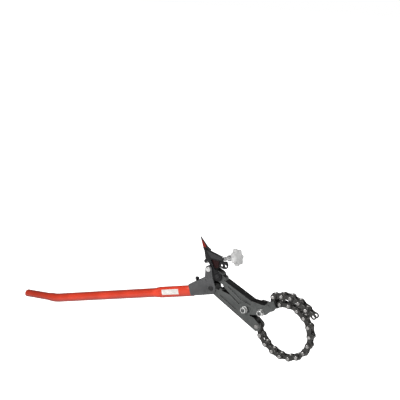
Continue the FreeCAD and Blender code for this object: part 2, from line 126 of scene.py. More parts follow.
def grid_mesh(name, rings, closed_ends=True, smooth_angle=35, loop=False):
    """A tube of rings of points; loop joins the last ring to the first."""
    bm = bmesh.new()
    rows = [[bm.verts.new(p) for p in ring] for ring in rings]
    count = len(rows[0])
    steps = len(rows) if loop else len(rows) - 1
    for i in range(steps):
        a = rows[i]
        b = rows[(i + 1) % len(rows)]
        for j in range(count):
            k = (j + 1) % count
            bm.faces.new((a[j], a[k], b[k], b[j]))
    if closed_ends and not loop:
        bm.faces.new(rows[0][::-1])
        bm.faces.new(rows[-1])
    bmesh.ops.remove_doubles(bm, verts=bm.verts, dist=1e-7)
    return finish_mesh(name, bm, smooth_angle)


def lathe(name, profile, segments=48, smooth_angle=32):
    """A closed (radius, y) outline in mm turned about Y. Ends at radius 0 close it."""
    rings = []
    for r, y in profile:
        ring = []
        for i in range(segments):
            a = 2 * math.pi * i / segments
            ring.append(Vector((r * math.cos(a), y, r * math.sin(a))) * MM)
        rings.append(ring)
    hollow = profile[0][0] > 0
    return grid_mesh(name, rings, closed_ends=False, smooth_angle=smooth_angle, loop=hollow)


def outline_plate(name, outline, holes, y0, y1, bevel=0.4, bevel_steps=2):
    """A flat plate with rounded edges from an (x, z) outline in mm and round holes (x, z, radius)."""
    curve = bpy.data.curves.new(name, "CURVE")
    curve.dimensions = "2D"
    curve.fill_mode = "BOTH"
    curve.extrude = ((y1 - y0) / 2 - bevel) * MM
    curve.bevel_depth = bevel * MM
    curve.bevel_resolution = bevel_steps
    curve.offset = -bevel * MM
    hole_turns = [-2 * math.pi * i / 32 for i in range(32)]

    def add(points):
        spline = curve.splines.new("POLY")
        spline.points.add(len(points) - 1)
        for point, (x, z) in zip(spline.points, points):
            point.co = (x * MM, z * MM, 0, 1)
        spline.use_cyclic_u = True

    add(outline)
    for x, z, r in holes:
        add([(x + r * math.cos(a), z + r * math.sin(a)) for a in hole_turns])
    temp = new_object(name + "_curve", curve)
    dg = bpy.context.evaluated_depsgraph_get()
    mesh = bpy.data.meshes.new_from_object(temp.evaluated_get(dg))
    bpy.data.objects.remove(temp)
    bpy.data.curves.remove(curve)
    bm = bmesh.new()
    bm.from_mesh(mesh)
    bpy.data.meshes.remove(mesh)
    turn = Matrix.Rotation(math.radians(90), 4, "X")
    shift = Matrix.Translation(Vector((0, (y0 + y1) / 2 * MM, 0)))
    bm.transform(shift @ turn)
    bmesh.ops.remove_doubles(bm, verts=bm.verts, dist=2e-6)
    return finish_mesh(name, bm, 40)


def merged(name, meshes):
    """One mesh from (mesh, matrix) pairs."""
    bm = bmesh.new()
    for mesh, matrix in meshes:
        part = mesh.copy()
        part.transform(matrix)
        bm.from_mesh(part)
        bpy.data.meshes.remove(part)
    out = bpy.data.meshes.new(name)
    bm.to_mesh(out)
    bm.free()
    out.shade_smooth()
    out.set_sharp_from_angle(angle=math.radians(35))
    return out


def place(at, heading=0.0):
    """Moves a shape drawn along +X in the XZ plane to a point and turns it to a heading in degrees."""
    return Matrix.Translation(at) @ Matrix.Rotation(math.radians(-heading), 4, "Y")


def along(axis, at):
    """Turns a shape drawn along +Y so that it runs along an axis from a point."""
    return Matrix.Translation(at) @ Vector((0, 1, 0)).rotation_difference(axis).to_matrix().to_4x4()


def rounded_copy(name, node, width):
    """The node's solid again with every hard edge rounded by a width in mm."""
    src = frame["nodes"][node]
    bm = bmesh.new()
    bm.from_mesh(src.data)
    bm.transform(src.matrix_world)
    bmesh.ops.remove_doubles(bm, verts=bm.verts, dist=2e-6)
    flat = math.radians(1.5)
    bmesh.ops.dissolve_limit(bm, angle_limit=flat, verts=bm.verts, edges=bm.edges)
    mesh = bpy.data.meshes.new(name)
    bm.to_mesh(mesh)
    bm.free()
    obj = new_object(name, mesh)
    mod = obj.modifiers.new("round", "BEVEL")
    mod.width = width * MM
    mod.segments = 2
    mod.limit_method = "ANGLE"
    mod.angle_limit = math.radians(33)
    mod.use_clamp_overlap = True
    mod.miter_outer = "MITER_ARC"
    dg = bpy.context.evaluated_depsgraph_get()
    done = bpy.data.meshes.new_from_object(obj.evaluated_get(dg))
    obj.modifiers.clear()
    obj.data = done
    done.name = name
    done.materials.clear()
    done.shade_smooth()
    done.set_sharp_from_angle(angle=math.radians(28))
    return obj


def dress(obj, material, node, stands_for=True):
    """Gives a piece its material and lets it ride with a CAD node, which it stands for."""
    obj.data.materials.clear()
    obj.data.materials.append(material)
    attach(obj, body_of(node))
    if stands_for:
        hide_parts(node)
    return obj


# ---------------------------------------------------------------- materials


class Nodes:
    """A small helper that wires shader nodes."""

    def __init__(self, name):
        self.mat = bpy.data.materials.new(name)
        self.mat.use_nodes = True
        self.tree = self.mat.node_tree
        self.tree.nodes.clear()
        self.out = self.add("ShaderNodeOutputMaterial")
        self.bsdf = self.add("ShaderNodeBsdfPrincipled")
        self.link(self.bsdf.outputs[0], self.out.inputs[0])
        self.coord = self.add("ShaderNodeTexCoord")
        self.geo = self.add("ShaderNodeNewGeometry")

    def add(self, kind):
        return self.tree.nodes.new(kind)

    def link(self, a, b):
        self.tree.links.new(a, b)

    def noise(self, scale, detail=4.0, roughness=0.55, stretch=None, distortion=0.0):
        n = self.add("ShaderNodeTexNoise")
        n.inputs["Scale"].default_value = scale
        n.inputs["Detail"].default_value = detail
        n.inputs["Roughness"].default_value = roughness
        n.inputs["Distortion"].default_value = distortion
        source = self.coord.outputs["Object"]
        if stretch:
            m = self.add("ShaderNodeMapping")
            m.inputs["Scale"].default_value = stretch
            self.link(source, m.inputs["Vector"])
            source = m.outputs[0]
        self.link(source, n.inputs["Vector"])
        return n.outputs["Fac"]

    def span(self, value, a, b, lo=0.0, hi=1.0, smooth=True):
        n = self.add("ShaderNodeMapRange")
        n.interpolation_type = "SMOOTHSTEP" if smooth else "LINEAR"
        self.link(value, n.inputs["Value"])
        n.inputs["From Min"].default_value = a
        n.inputs["From Max"].default_value = b
        n.inputs["To Min"].default_value = lo
        n.inputs["To Max"].default_value = hi
        return n.outputs["Result"]

    def math(self, op, a, b=None):
        n = self.add("ShaderNodeMath")
        n.operation = op
        for i, v in enumerate((a, b)):
            if v is None:
                continue
            if isinstance(v, (int, float)):
                n.inputs[i].default_value = v
            else:
                self.link(v, n.inputs[i])
        return n.outputs[0]

    def mix(self, factor, a, b):
        n = self.add("ShaderNodeMix")
        n.data_type = "RGBA"
        if isinstance(factor, (int, float)):
            n.inputs[0].default_value = factor
        else:
            self.link(factor, n.inputs[0])
        for i, v in ((6, a), (7, b)):
            if isinstance(v, tuple):
                n.inputs[i].default_value = (v[0], v[1], v[2], 1)
            else:
                self.link(v, n.inputs[i])
        return n.outputs[2]

    def dot(self, vector, direction):
        n = self.add("ShaderNodeVectorMath")
        n.operation = "DOT_PRODUCT"
        self.link(vector, n.inputs[0])
        if isinstance(direction, tuple):
            n.inputs[1].default_value = direction
        else:
            self.link(direction, n.inputs[1])
        return n.outputs["Value"]

    def edges(self, radius=0.0012, lo=0.03, hi=0.3):
        """1 where a hard edge is near."""
        b = self.add("ShaderNodeBevel")
        b.samples = 6
        b.inputs["Radius"].default_value = radius
        d = self.dot(b.outputs["Normal"], self.geo.outputs["Normal"])
        return self.span(self.math("SUBTRACT", 1.0, d), lo, hi)

    def grazing(self, lo=0.1, hi=0.75):
        """1 where the surface turns away from the eye."""
        w = self.add("ShaderNodeLayerWeight")
        w.inputs["Blend"].default_value = 0.5
        return self.span(w.outputs["Facing"], lo, hi)

    def bump(self, height, strength, distance, normal=None):
        n = self.add("ShaderNodeBump")
        n.inputs["Strength"].default_value = strength
        n.inputs["Distance"].default_value = distance
        self.link(height, n.inputs["Height"])
        if normal:
            self.link(normal, n.inputs["Normal"])
        return n.outputs["Normal"]

    def set(self, **values):
        for key, v in values.items():
            socket = self.bsdf.inputs[key.replace("_", " ")]
            if isinstance(v, (int, float)):
                socket.default_value = v
            else:
                self.link(v, socket)


def cast_iron(name, side, top, wear, shaded_top_from=0.35, shaded_top_to=0.8, grain=0.5):
    """Sand-cast iron with black finish: grey side faces, and the faces that turn upwards painted nearly
    black as painted shade.
    """
    n = Nodes(name)
    cloud = n.noise(38.0, 5.0, 0.6)
    fine = n.noise(900.0, 3.0, 0.6)
    pits = n.noise(420.0, 2.0, 0.5)
    colour = n.mix(n.span(cloud, 0.3, 0.7), tuple(c * 0.8 for c in side), tuple(c * 1.18 for c in side))
    # up marks the upward faces, which get the top colour as painted shade
    up = n.span(n.dot(n.coord.outputs["Normal"], (0, 0, 1)), shaded_top_from, shaded_top_to)
    colour = n.mix(up, colour, top)
    patchy = n.span(n.noise(160.0), 0.38, 0.62, 0.25, 1.0)
    edge = n.math("MULTIPLY", n.edges(0.0013, 0.02, 0.2), patchy)
    colour = n.mix(edge, colour, wear)
    hollow = n.math("MULTIPLY", n.span(pits, 0.62, 0.75), 0.6)
    colour = n.mix(hollow, colour, tuple(c * 0.45 for c in side))
    rough = n.span(cloud, 0.2, 0.8, 0.42, 0.6, False)
    rough = n.math("SUBTRACT", rough, n.math("MULTIPLY", edge, 0.12))
    # Less specular shine on the upward faces deepens the painted shade there
    shine = n.math("SUBTRACT", 0.42, n.math("MULTIPLY", up, 0.34))
    height = n.math("ADD", n.math("MULTIPLY", fine, 0.5), n.math("MULTIPLY", pits, 0.8))
    n.set(Base_Color=colour, Metallic=0.0, Roughness=rough, Specular_IOR_Level=shine)
    n.set(Normal=n.bump(height, grain, 0.00022))
    return n.mat


def enamel(
    name, base, chip, light=None, coat=0.5, roughness=0.32, chips=0.55, shine=0.4, rim=0.0, darkened_span=None
):
    """Enamel with orange peel, chipped edges and faint scratches; rim darkens the faces that turn away from
    the eye as painted shade, and the last argument is an X span that gets darker towards its low end.
    """
    n = Nodes(name)
    cloud = n.noise(16.0, 4.0)
    peel = n.noise(520.0, 2.0, 0.4)
    scratch = n.noise(60.0, 3.0, 0.7, stretch=(1.2, 14.0, 14.0), distortion=0.4)
    light = light or tuple(min(1.0, c * 1.12 + 0.004) for c in base)
    colour = n.mix(n.span(cloud, 0.3, 0.72), tuple(c * 0.86 for c in base), light)
    marks = n.math("MULTIPLY", n.span(scratch, 0.67, 0.74), 0.35)
    colour = n.mix(marks, colour, tuple(c * 0.55 for c in base))
    # Painted shade: faces turning away from the eye are darkened by rim
    colour = n.mix(n.math("MULTIPLY", n.grazing(), rim), colour, tuple(c * 0.3 for c in base))
    # The enamel gets darker towards the low X end of the given span
    if darkened_span:
        along_x = n.dot(n.coord.outputs["Object"], (1, 0, 0))
        end_darkening = n.span(along_x, darkened_span[0], darkened_span[1], 0.5, 0.0)
        colour = n.mix(end_darkening, colour, tuple(c * 0.25 for c in base))
    patchy = n.span(n.noise(220.0), chips, chips + 0.08)
    edge = n.math("MULTIPLY", n.edges(0.0009, 0.03, 0.3), patchy)
    colour = n.mix(edge, colour, chip)
    rough = n.span(cloud, 0.2, 0.8, roughness - 0.06, roughness + 0.1, False)
    rough = n.math("ADD", rough, n.math("MULTIPLY", marks, 0.5))
    height = n.math("SUBTRACT", n.math("MULTIPLY", peel, 0.6), n.math("MULTIPLY", edge, 0.8))
    n.set(Base_Color=colour, Roughness=rough, Specular_IOR_Level=shine)
    n.set(Coat_Weight=coat, Coat_Roughness=0.2)
    n.set(Normal=n.bump(height, 0.22, 0.00012))
    return n.mat


def steel(name, base, dark, edge_wear_and_highlight, metallic=0.85, roughness=0.36, grime=0.5, edge_r=0.0006):
    """Machined or rolled steel: dark film in the hollows, fine tool marks, and bright edges that are partly
    worn metal and partly painted highlight.
    """
    n = Nodes(name)
    cloud = n.noise(95.0, 4.0, 0.6)
    marks = n.noise(700.0, 3.0, 0.6, stretch=(1.0, 1.0, 1.0))
    film = n.noise(240.0, 5.0, 0.65)
    light = tuple(min(1, c * 1.2) for c in base)
    colour = n.mix(n.span(cloud, 0.3, 0.7), tuple(c * 0.8 for c in base), light)
    dirty = n.math("MULTIPLY", n.span(film, 0.48, 0.66), grime)
    colour = n.mix(dirty, colour, dark)
    patchy = n.span(n.noise(300.0), 0.3, 0.6, 0.25, 1.0)
    edge = n.math("MULTIPLY", n.edges(edge_r, 0.03, 0.3), patchy)
    # Edges take the bright colour: part worn metal, part painted highlight
    colour = n.mix(edge, colour, edge_wear_and_highlight)
    rough = n.span(cloud, 0.2, 0.8, roughness - 0.08, roughness + 0.08, False)
    rough = n.math("ADD", rough, n.math("MULTIPLY", dirty, 0.35))
    rough = n.math("SUBTRACT", rough, n.math("MULTIPLY", edge, 0.1))
    # Edges are less metallic, so their bright colour shows as a painted highlight
    metal = n.math("SUBTRACT", metallic, n.math("MULTIPLY", edge, 0.5 * metallic))
    n.set(Base_Color=colour, Metallic=metal, Roughness=rough, Normal=n.bump(marks, 0.25, 0.00008))
    return n.mat


def facing_shaded_enamel(name, near, other, wear, dark_above):
    """Enamel with its colour on the near faces only; the other faces are dark as painted shade, and all
    faces are dark above a height.
    """
    n = Nodes(name)
    cloud = n.noise(120.0, 4.0)
    # Painted shade: only faces turned to the near side keep the colour
    unshaded_near_faces = n.span(n.dot(n.coord.outputs["Normal"], (0, -1, 0)), 0.2, 0.7)
    height = n.dot(n.coord.outputs["Object"], (0, 0, 1))
    low = n.span(height, dark_above - 0.004, dark_above + 0.004, 1.0, 0.0)
    colour = n.mix(n.math("MULTIPLY", unshaded_near_faces, low), other, near)
    colour = n.mix(n.span(cloud, 0.45, 0.75, 0.0, 0.5), colour, tuple(c * 0.4 for c in near))
    patchy = n.span(n.noise(260.0), 0.5, 0.62)
    edge = n.math("MULTIPLY", n.edges(0.0007, 0.03, 0.3), patchy)
    colour = n.mix(edge, colour, wear)
    rough = n.span(cloud, 0.2, 0.8, 0.35, 0.55, False)
    n.set(Base_Color=colour, Roughness=rough, Coat_Weight=0.04, Specular_IOR_Level=0.15)
    n.set(Normal=n.bump(n.noise(600.0, 3.0), 0.2, 0.0001))
    return n.mat


def lever_finish(name):
    """Black lever with a grey panel on the side faces of its hood, right of a slanting line and above a
    height; the panel's faces that turn away from the side stay black as painted shade.
    """
    n = Nodes(name)
    cloud = n.noise(70.0, 5.0, 0.6)
    black = (0.005, 0.005, 0.006)
    grey = (0.03, 0.03, 0.032)
    p = n.coord.outputs["Object"]
    right_of = n.span(n.dot(p, (0.82, 0.0, 0.57)), -0.0195, -0.0165)
    above = n.span(n.dot(p, (0.02, 0.0, 1.0)), 0.1185, 0.1205)
    # Painted shade: only faces turned to the side show the grey panel
    side = n.span(n.math("ABSOLUTE", n.dot(n.coord.outputs["Normal"], (0, 1, 0))), 0.7, 0.95)
    panel = n.math("MULTIPLY", n.math("MULTIPLY", right_of, above), side)
    panel = n.math("MULTIPLY", panel, n.span(cloud, 0.25, 0.6, 0.65, 1.0))
    colour = n.mix(panel, black, grey)
    edge = n.math("MULTIPLY", n.edges(0.0009, 0.03, 0.3), n.span(n.noise(200.0), 0.46, 0.6))
    colour = n.mix(n.math("MULTIPLY", edge, 0.7), colour, (0.2, 0.2, 0.2))
    rough = n.span(cloud, 0.2, 0.8, 0.3, 0.5, False)
    n.set(Base_Color=colour, Roughness=rough, Coat_Weight=0.08, Specular_IOR_Level=0.2)
    n.set(Normal=n.bump(n.noise(700.0), 0.3, 0.00015))
    return n.mat


# Both irons: top is the nearly black colour painted on upward faces as painted shade
IRON = cast_iron(
    "blackened_cast_iron",
    side=(0.064, 0.068, 0.066),
    top=(0.003, 0.003, 0.003),
    wear=(0.22, 0.22, 0.215),
)
SOCKET_IRON = cast_iron(
    "socket_cast_iron",
    side=(0.064, 0.065, 0.067),
    top=(0.012, 0.012, 0.013),
    wear=(0.3, 0.3, 0.3),
    shaded_top_from=0.6,
    shaded_top_to=0.95,
)
LEVER = lever_finish("black_lever_enamel")
BLACK = enamel("black_enamel", (0.006, 0.006, 0.007), chip=(0.3, 0.29, 0.28), coat=0.1, shine=0.2)
# Very dark red: the red paint darkened as painted shade
BLOCK = enamel(
    "shade_darkened_red",
    (0.02, 0.0055, 0.0055),
    chip=(0.3, 0.2, 0.18),
    coat=0.0,
    roughness=0.5,
    shine=0.12,
)
RED = enamel(
    "red_orange_enamel",
    (0.68, 0.042, 0.012),
    chip=(0.2, 0.02, 0.006),
    light=(0.78, 0.054, 0.018),
    chips=0.62,
    coat=0.12,
    # rim paints shade along the tube's outline
    rim=0.8,
    # The handle tube is darker towards its free end
    darkened_span=(-0.74, -0.63),
)
TIP = facing_shaded_enamel(
    "tip_enamel",
    near=(0.2, 0.014, 0.008),
    # The dark colour of the faces not turned to the near side is painted shade
    other=(0.004, 0.003, 0.003),
    wear=(0.12, 0.05, 0.04),
    dark_above=0.161,
)
ZINC = steel(
    "zinc_plate",
    (0.72, 0.72, 0.71),
    dark=(0.2, 0.2, 0.19),
    edge_wear_and_highlight=(0.95, 0.95, 0.94),
    roughness=0.3,
    grime=0.35,
)
SCREW = steel(
    "turned_screw_steel",
    (0.5, 0.5, 0.5),
    dark=(0.08, 0.08, 0.08),
    edge_wear_and_highlight=(0.9, 0.9, 0.9),
    roughness=0.28,
)
BLACK_OXIDE = steel(
    "black_oxide",
    (0.012, 0.012, 0.013),
    dark=(0.005, 0.005, 0.005),
    edge_wear_and_highlight=(0.3, 0.3, 0.3),
    metallic=0.3,
    roughness=0.4,
    grime=0.3,
)
BOLT = steel(
    "dark_bolt_steel",
    (0.06, 0.065, 0.065),
    dark=(0.015, 0.015, 0.015),
    edge_wear_and_highlight=(0.6, 0.6, 0.6),
    metallic=0.6,
    roughness=0.34,
    grime=0.4,
)
# The chain's near-white edges are partly wear and partly painted highlight; edge_r sets their width
PLATE = steel(
    "oiled_chain_plate",
    (0.05, 0.049, 0.046),
    dark=(0.006, 0.005, 0.005),
    edge_wear_and_highlight=(1.0, 0.99, 0.97),
    metallic=0.6,
    roughness=0.3,
    grime=0.6,
    edge_r=0.0008,
)
RIVET = steel(
    "chain_rivet_steel",
    (0.38, 0.37, 0.36),
    dark=(0.02, 0.018, 0.016),
    edge_wear_and_highlight=(1.0, 0.99, 0.97),
    roughness=0.24,
    grime=0.65,
)
WHEEL = steel(
    "cutter_wheel_steel",
    (0.09, 0.087, 0.082),
    dark=(0.006, 0.006, 0.005),
    edge_wear_and_highlight=(1.0, 0.99, 0.97),
    metallic=0.7,
    roughness=0.24,
    grime=0.6,
    edge_r=0.001,
)
JAW_WHEEL = steel(
    "ground_wheel_steel",
    (0.75, 0.75, 0.75),
    dark=(0.16, 0.16, 0.15),
    edge_wear_and_highlight=(1.0, 1.0, 1.0),
    metallic=0.8,
    roughness=0.24,
    grime=0.2,
)
KNOB = enamel(
    "pale_knob",
    (0.46, 0.46, 0.455),
    chip=(0.2, 0.2, 0.2),
    light=(0.58, 0.58, 0.575),
    coat=0.03,
    roughness=0.5,
    chips=0.5,
)

# ---------------------------------------------------------------- chain


EYE_R = 8.0
WAIST = 5.7
INNER_PLATE = (5.3, 7.8)
OUTER_PLATE = (8.1, 10.9)
EYE_BORE = 4.06
RIVET_BORE = 3.9
CHAIN_WHEEL = {"bore": EYE_BORE, "hub": 6.6, "rim": 10.0}
JAW_CUTTER = {"bore": 5.06, "hub": 7.6, "rim": 11.0}
RIVET_END = [
    (0, 14.15),
    (0.9, 14.15),
    (1.5, 14.45),
    (3.2, 14.4),
    (4.3, 13.9),
    (4.95, 13.0),
    (5.0, 11.6),
    (4.85, 10.95),
    (4.0, 10.9),
]
ANCHOR_END = [(0, 14.5), (1.2, 14.5), (4.6, 14.3), (6.1, 13.7), (6.5, 12.9), (6.5, 12.35), (4.0, 12.3)]


def both_ends(end):
    """The (radius, y) outline of an end and its mirror image."""
    return end + [(r, -y) for r, y in reversed(end)]


def plate_outline():
    """A figure-of-eight side plate round two pins, in mm."""
    pitch = PITCH / MM
    arc_steps = 18
    side_steps = 16
    points = []
    for i in range(arc_steps + 1):
        a = math.radians(90 + 180 * i / arc_steps)
        points.append((EYE_R * math.cos(a), EYE_R * math.sin(a)))
    lower = []
    for i in range(1, side_steps):
        f = i / side_steps
        h = WAIST + (EYE_R - WAIST) * (0.5 + 0.5 * math.cos(2 * math.pi * f)) ** 1.7
        lower.append((pitch * f, -h))
    points += lower
    for i in range(arc_steps + 1):
        a = math.radians(-90 + 180 * i / arc_steps)
        points.append((pitch + EYE_R * math.cos(a), EYE_R * math.sin(a)))
    points += [(x, -z) for x, z in reversed(lower)]
    return points


def build_plates(name, span, hole_r):
    """The far and the near plate of a link, span apart from the middle."""
    holes = [(0, 0, hole_r), (PITCH / MM, 0, hole_r)]
    inside, outside = span
    far = outline_plate(name + "_a", plate_outline(), holes, inside, outside, 0.45)
    near = outline_plate(name + "_b", plate_outline(), holes, -outside, -inside, 0.45)
    return [far, near]


def wheel_mesh(name, bore, hub, rim):
    """A hardened cutter wheel: hub, hollow-ground flanks and a narrow rim."""
    half = [
        (bore, 4.75),
        (bore + 0.25, 5.0),
        (hub - 0.4, 5.0),
        (hub, 4.6),
        (hub + 0.15, 2.6),
        (hub + 0.5, 2.1),
        (hub + (rim - hub) * 0.55, 1.05),
        (rim - 0.25, 0.38),
        (rim, 0.16),
    ]
    return lathe(name, both_ends(half), 48, 25)


def build_links():
    plates = {
        "inner": build_plates("inner", INNER_PLATE, EYE_BORE),
        "outer": build_plates("outer", OUTER_PLATE, RIVET_BORE),
    }
    rivet = lathe("rivet", both_ends(RIVET_END), 32, 30)
    for k in range(1, LINKS + 1):
        start, end = PINS[k - 1], PINS[k]
        here = place(start, math.degrees(math.atan2(end.z - start.z, end.x - start.x)))
        kind = "inner" if k % 2 else "outer"
        node = "chain_link_%02d_%s" % (k, kind)
        obj = new_object("link_plates_%02d" % k, merged("link", [(m, here) for m in plates[kind]]))
        dress(obj, PLATE, node)
        if kind == "outer":
            turns = [
                here @ Matrix.Rotation(random.uniform(0, 6), 4, "Y"),
                place(end, random.uniform(0, 300)),
            ]
            pair = new_object("link_rivets_%02d" % k, merged("rivets", [(rivet, t) for t in turns]))
            dress(pair, RIVET, node)


def build_chain():
    build_links()
    wheel = wheel_mesh("wheel", **CHAIN_WHEEL)
    for i in range(1, LINKS):
        turned = place(PINS[i], random.uniform(0, 300))
        obj = new_object("chain_wheel_%02d" % i, merged("wheel", [(wheel, turned)]))
        dress(obj, WHEEL, "cutter_wheel_%02d" % i)
    jaw = wheel_mesh("jaw_wheel", **JAW_CUTTER)
    obj = new_object("jaw_cutting_wheel", merged("jaw_wheel_mesh", [(jaw, place(FRONT_BOLT))]))
    dress(obj, JAW_WHEEL, "jaw_cutter_wheel")
    pin = lathe("anchor", both_ends(ANCHOR_END), 40, 30)
    obj = new_object("anchor_pin_headed", merged("anchor_pin", [(pin, place(PINS[0]))]))
    dress(obj, RIVET, "chain_anchor_pin")


# ---------------------------------------------------------------- fasteners


BOLT_R = 5.0
BOLT_ROOT = 4.35
BOLT_PITCH = 1.5
HEX_FLATS = 15.0
HEX_TURN = 12
JAW_FACE = 12.32
WASHER_TOP = 14.3
WASHER = [
    (5.1, JAW_FACE),
    (9.0, JAW_FACE),
    (9.2, 12.5),
    (9.2, 14.1),
    (8.95, WASHER_TOP),
    (5.35, WASHER_TOP),
    (5.1, 14.05),
]
HEAD_TOP = 20.8
NUT_TOP = 22.3
THREAD_END = 24.3
CHAMFER = math.tan(math.radians(28))


def hex_radius(angle, flats):
    """The distance from the middle of a hexagon to its edge at an angle."""
    step = math.radians(60)
    return flats / 2 / math.cos((angle % step) - step / 2)


def hex_body(name, flats, y0, y1, bore, segments=72):
    """A hexagon with turned chamfers on both faces, and a bore if it has a radius."""
    rim = flats / 2 * 1.01

    def ring(radius_of, y_of):
        out = []
        for i in range(segments):
            a = 2 * math.pi * i / segments
            r = radius_of(a)
            out.append(Vector((r * math.cos(a), y_of(r), r * math.sin(a))) * MM)
        return out

    def side(a):
        return hex_radius(a, flats)

    def drop(r):
        return max(0.12, (r - rim + 0.5) * CHAMFER)

    lead = 0.5 if bore else 0.0
    mouth = bore + 0.5 if bore else 1.0
    rings = [
        ring(lambda a: bore, lambda r: y0 + lead),
        ring(lambda a: mouth, lambda r: y0),
        ring(lambda a: rim - 0.5, lambda r: y0),
        ring(side, lambda r: y0 + drop(r)),
        ring(side, lambda r: y1 - drop(r)),
        ring(lambda a: rim - 0.5, lambda r: y1),
        ring(lambda a: mouth, lambda r: y1),
        ring(lambda a: bore, lambda r: y1 - lead),
    ]
    return grid_mesh(name, rings, closed_ends=False, smooth_angle=24, loop=bool(bore))


def threaded_rod(name, t0, t1, crest, root, pitch, segments=36, lead=1.2):
    """A rod along +Y with a helical thread that fades in and out at its ends."""
    rings = [[Vector((0, t0, 0)) * MM] * segments]
    steps = int((t1 - t0) / (pitch / 9))
    for s in range(steps + 1):
        t = t0 + (t1 - t0) * s / steps
        fade = min(1.0, (t - t0) / lead, (t1 - t) / lead)
        ring = []
        for i in range(segments):
            a = 2 * math.pi * i / segments
            phase = (t / pitch + i / segments) % 1.0
            shape = min(1.0, max(0.0, 1.55 - abs(phase - 0.5) * 4.6))
            r = root + (crest - root) * shape
            r = r * (0.82 + 0.18 * max(0.0, fade))
            ring.append(Vector((r * math.cos(a), t, r * math.sin(a))) * MM)
        rings.append(ring)
    rings.append([Vector((0, t1, 0)) * MM] * segments)
    return grid_mesh(name, rings, closed_ends=False, smooth_angle=40)


def build_fasteners():
    bolts = [MAIN_PIVOT, FRONT_BOLT]
    shank = lathe("shank", [(0, 15.3), (4.9, 15.3), (BOLT_R, 14.0), (BOLT_R, -14.4), (0, -14.4)], 36, 30)
    head = hex_body("head", HEX_FLATS, WASHER_TOP, HEAD_TOP, 0)
    thread = threaded_rod("thread", -THREAD_END, -14.2, BOLT_R, BOLT_ROOT, BOLT_PITCH)
    heads = []
    threads = []
    for at in bolts:
        heads += [(shank, place(at)), (head, place(at, HEX_TURN))]
        threads += [(thread, place(at))]
    obj = new_object("pivot_bolts", merged("pivot_bolts", heads + threads))
    dress(obj, BOLT, "jaw_bolts")
    nut = hex_body("nut", HEX_FLATS, -NUT_TOP, -WASHER_TOP, BOLT_R)
    obj = new_object("pivot_nuts", merged("pivot_nuts", [(nut, place(at, HEX_TURN)) for at in bolts]))
    dress(obj, ZINC, "jaw_nuts")
    far = lathe("washer", WASHER, 48, 30)
    near = lathe("washer_near", [(r, -y) for r, y in reversed(WASHER)], 48, 30)
    rings = [(m, place(at)) for at in bolts for m in (far, near)]
    obj = new_object("pivot_washers", merged("pivot_washers", rings))
    dress(obj, ZINC, "jaw_washers")


PIN_HEAD_R = 7.0
CASTING_GRIP = 15.5
LEVER_GRIP = 12.3


def headed_pin(name, grip, head_t):
    """A pin with a round head on both sides; grip is half the width that it holds."""
    top = grip + head_t
    end = [
        (0, top - 0.25),
        (1.6, top - 0.25),
        (2.2, top),
        (PIN_HEAD_R - 1.6, top),
        (PIN_HEAD_R - 0.5, top - 0.45),
        (PIN_HEAD_R, top - 1.2),
        (PIN_HEAD_R, grip + 0.1),
        (BOLT_R, grip + 0.05),
    ]
    return lathe(name, both_ends(end), 40, 28)


def handle_pivot():
    """The lever's upper pin, found from the corner of the box round both lever pins."""
    lo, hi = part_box("lever_pivot_pins")
    return Vector((lo.x + PIN_HEAD_R * MM, 0, hi.z - PIN_HEAD_R * MM))


def build_pins():
    pins = [
        ("handle_pivot_pin", CASTING_GRIP, 3.0, handle_pivot(), ZINC, "lever_pivot_pins", "zinc"),
        ("lever_pivot_pin", LEVER_GRIP, 2.4, LEVER_PIVOT, BLACK_OXIDE, "lever_pivot_pins", "black_screw"),
        ("handle_joint_pin", CASTING_GRIP, 1.8, JAW_PIVOT, BLACK_OXIDE, "handle_link_pin", "black_screw"),
    ]
    for name, grip, head_t, at, material, node, slot in pins:
        pin = headed_pin("pin", grip, head_t)
        obj = new_object(name, merged(name + "_mesh", [(pin, place(at))]))
        dress(obj, material, node)


# ---------------------------------------------------------------- screw and knob

SCREW_CREST = 5.5
SCREW_ROOT = 4.55
SCREW_PITCH = 3.0
SHAFT = [
    (0, 72),
    (4.8, 72),
    (4.8, 75.6),
    (7.2, 75.8),
    (8.0, 76.6),
    (8.0, 83),
    (7.5, 83.6),
    (7.5, 84.6),
    (8.0, 85.2),
    (8.0, 92.2),
    (7.4, 93),
    (5.2, 93),
    (5.2, 106),
    (0, 106),
]
SPIGOT = [(0, 3), (2.7, 3), (3.0, 3.4), (3.0, 8.6), (0, 8.6)]
END_CAP = [
    (3.06, 7.3),
    (3.4, 7.7),
    (4.6, 7.7),
    (5.25, 7.2),
    (5.4, 6.4),
    (5.4, 0.6),
    (4.9, -0.4),
    (3.6, -0.95),
    (0, -1.0),
    (0, 2.5),
    (3.06, 2.5),
]


def build_screw():
    """The threaded screw with its collar and spigot, and the cap on its end."""
    thread = threaded_rod("thread", 8.0, 74.5, SCREW_CREST, SCREW_ROOT, SCREW_PITCH, 40)
    shaft = lathe("shaft", SHAFT, 48, 30)
    spigot = lathe("spigot", SPIGOT, 32, 30)
    there = along(SCREW_AXIS, SCREW_START)
    obj = new_object("threaded_screw", merged("screw", [(m, there) for m in (thread, shaft, spigot)]))
    dress(obj, SCREW, "adjusting_screw")
    cap = lathe("cap", END_CAP, 40, 30)
    obj = new_object("screw_end_button", merged("cap", [(cap, there)]))
    dress(obj, BLACK_OXIDE, "screw_end_cap")


